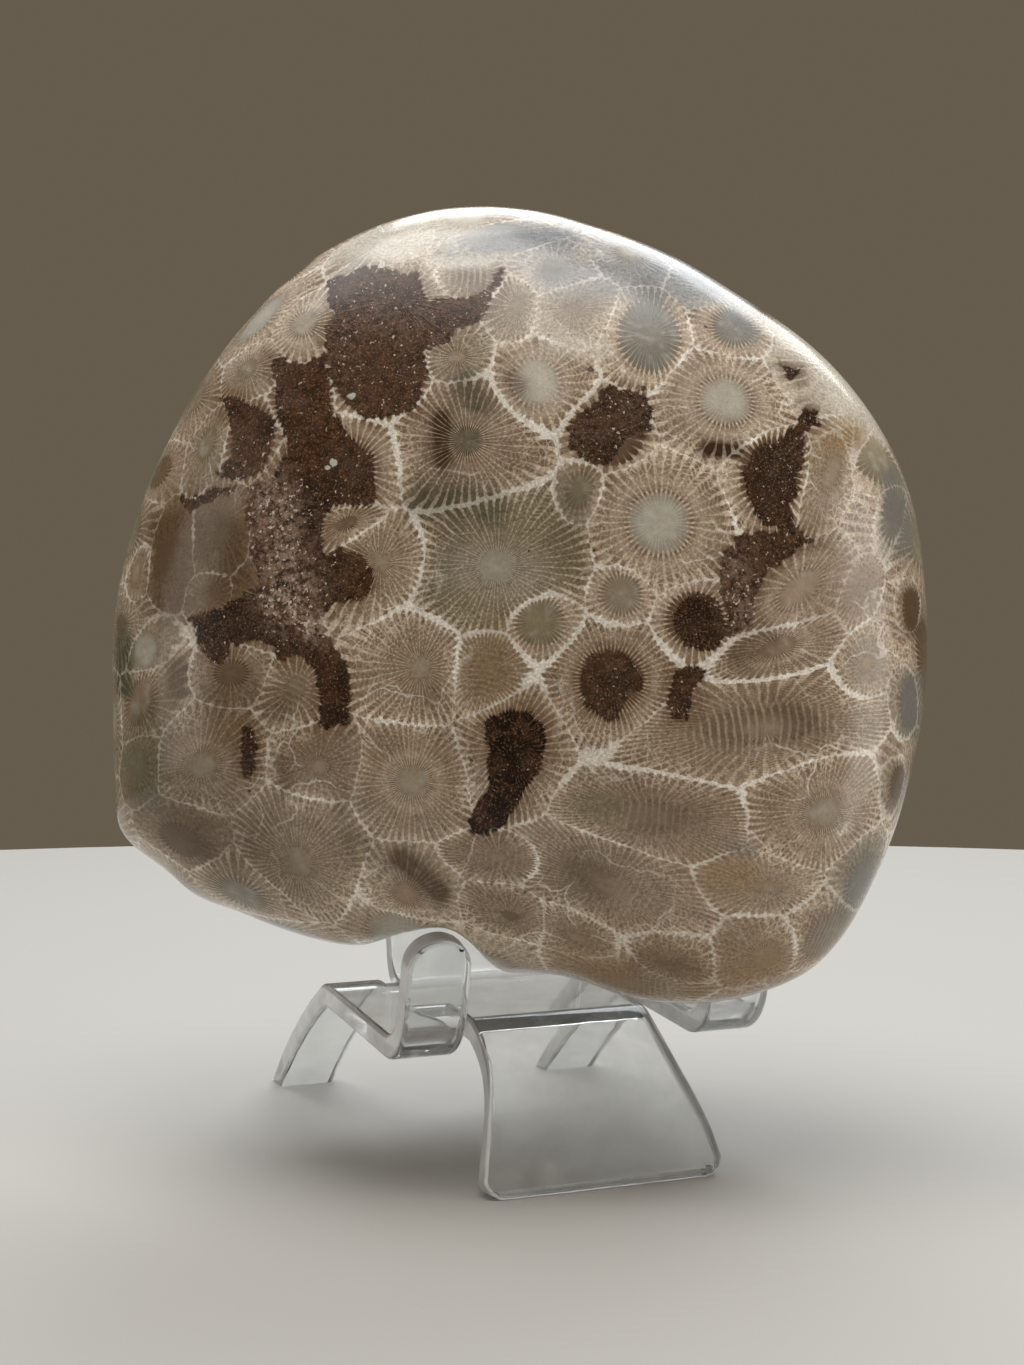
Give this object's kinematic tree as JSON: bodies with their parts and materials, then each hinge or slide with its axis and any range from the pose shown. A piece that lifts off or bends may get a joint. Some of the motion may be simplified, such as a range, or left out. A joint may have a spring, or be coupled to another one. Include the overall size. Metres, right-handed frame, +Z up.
{
  "type": "fossil coral head on stand",
  "caption": "Rounded, polished head of fossil colonial coral with starry cells and dark brown patches, leaning back on a low clear bent stand.",
  "frame": {"origin": "bottom centre of the bounding box, on the surface that the stand rests on", "axes": "+Z up; -Y is the way the polished face looks; +X is to the right of the face. The stand is turned 21 degrees about Z, its front foot towards -Y and a little to +X"},
  "size_m": [0.087, 0.0721, 0.104],
  "materials": {
    "coral_stone": "polished taupe and grey limestone with off-white cell walls and dark brown patches",
    "clear_acrylic": "clear, colourless, glossy"
  },
  "bodies": {
    "root": {"coral_head": "coral_stone", "acrylic_stand": "clear_acrylic"}
  },
  "joints": []
}
